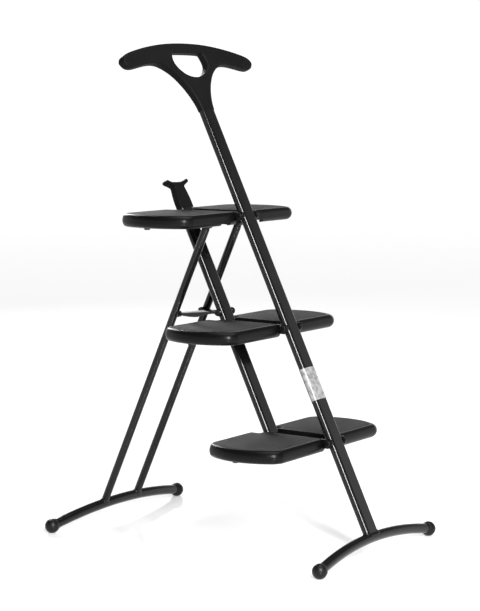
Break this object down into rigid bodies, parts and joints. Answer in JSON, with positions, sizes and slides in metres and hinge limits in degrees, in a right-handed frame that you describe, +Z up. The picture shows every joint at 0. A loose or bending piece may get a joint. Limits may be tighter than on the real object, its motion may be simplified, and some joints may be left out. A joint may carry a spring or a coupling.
{
  "type": "library ladder",
  "caption": "Folding library ladder with a central mast, bowed crossbar handle, split treads worked by a parallel lift bar, and hinged rear legs on bowed feet.",
  "frame": {"origin": "on the floor, in the middle of the box that holds the opened ladder", "axes": "+Z up, +Y to the rear (the side of the lift bar and the rear legs), +X to the right of someone who faces the steps"},
  "size_m": [0.49, 0.725, 1.0706],
  "materials": {
    "painted_tube": "satin black powder coat",
    "step_plastic": "moulded black plastic with a low sheen",
    "handle_plastic": "fine matt moulded texture",
    "tread_rubber": "pebbled dark grey non-slip rubber",
    "foot_rubber": "smooth black rubber",
    "steel": "black oxide",
    "nylon": "black nylon",
    "label": "plain pale label without print"
  },
  "bodies": {
    "front_frame": {"front_mast": "painted_tube", "front_foot_tube": "painted_tube", "front_foot_cap_left": "foot_rubber", "front_foot_cap_right": "foot_rubber", "mast_pivot_bushes": "steel", "top_handle": "handle_plastic", "handle_screw": "steel", "blank_label": "label"},
    "step_top": {"step_top_left": "step_plastic", "step_top_right": "step_plastic", "tread_top_left": "tread_rubber", "tread_top_right": "tread_rubber", "bumpers_top": "foot_rubber", "front_pin_top": "steel", "rear_pin_top": "steel", "washers_top": "nylon", "leg_hinge_brackets": "steel", "leg_hinge_screws": "steel", "leg_hinge_pins": "steel"},
    "step_mid": {"step_mid_left": "step_plastic", "step_mid_right": "step_plastic", "tread_mid_left": "tread_rubber", "tread_mid_right": "tread_rubber", "bumpers_mid": "foot_rubber", "front_pin_mid": "steel", "rear_pin_mid": "steel", "washers_mid": "nylon"},
    "step_low": {"step_low_left": "step_plastic", "step_low_right": "step_plastic", "tread_low_left": "tread_rubber", "tread_low_right": "tread_rubber", "bumpers_low": "foot_rubber", "front_pin_low": "steel", "rear_pin_low": "steel", "washers_low": "nylon"},
    "lift_bar": {"lift_bar": "painted_tube", "bar_pivot_bushes": "steel", "bar_end_plug": "handle_plastic", "release_grip": "handle_plastic", "grip_screw": "steel", "link_pin": "steel"},
    "rear_frame": {"rear_leg_left": "painted_tube", "rear_leg_right": "painted_tube", "rear_foot_tube": "painted_tube", "rear_foot_cap_left": "foot_rubber", "rear_foot_cap_right": "foot_rubber", "leg_eyes": "steel", "link_bolts": "steel"},
    "spreader": {"spreader_link": "handle_plastic"}
  },
  "joints": [
    {"name": "fold", "type": "hinge", "parent": "front_frame", "child": "step_top", "pos_m": [0, -0.0166, 0.702], "axis": [1, 0, 0], "range_deg": [0, 62]},
    {"name": "step_mid_pivot", "type": "hinge", "parent": "front_frame", "child": "step_mid", "pos_m": [0, -0.1295, 0.467], "axis": [1, 0, 0], "range_deg": [0, 62]},
    {"name": "step_low_pivot", "type": "hinge", "parent": "front_frame", "child": "step_low", "pos_m": [0, -0.2424, 0.232], "axis": [1, 0, 0], "range_deg": [0, 62]},
    {"name": "lift_bar_pivot", "type": "hinge", "parent": "step_top", "child": "lift_bar", "pos_m": [0, 0.13833, 0.69], "axis": [1, 0, 0], "range_deg": [-62, 0]},
    {"name": "rear_leg_pivot", "type": "hinge", "parent": "step_top", "child": "rear_frame", "pos_m": [0, 0.04547, 0.682], "axis": [1, 0, 0], "range_deg": [-103.75, 0]},
    {"name": "link_pivot", "type": "hinge", "parent": "lift_bar", "child": "spreader", "pos_m": [0, 0.04177, 0.489], "axis": [1, 0, 0], "range_deg": [-89.25, 0]}
  ],
  "couplings": [
    {"joint": "step_mid_pivot", "follows": "fold", "ratio": 1},
    {"joint": "step_low_pivot", "follows": "fold", "ratio": 1},
    {"joint": "lift_bar_pivot", "follows": "fold", "ratio": -1},
    {"joint": "rear_leg_pivot", "follows": "fold", "ratio": -1.6733},
    {"joint": "link_pivot", "follows": "fold", "ratio": -1.4394}
  ]
}
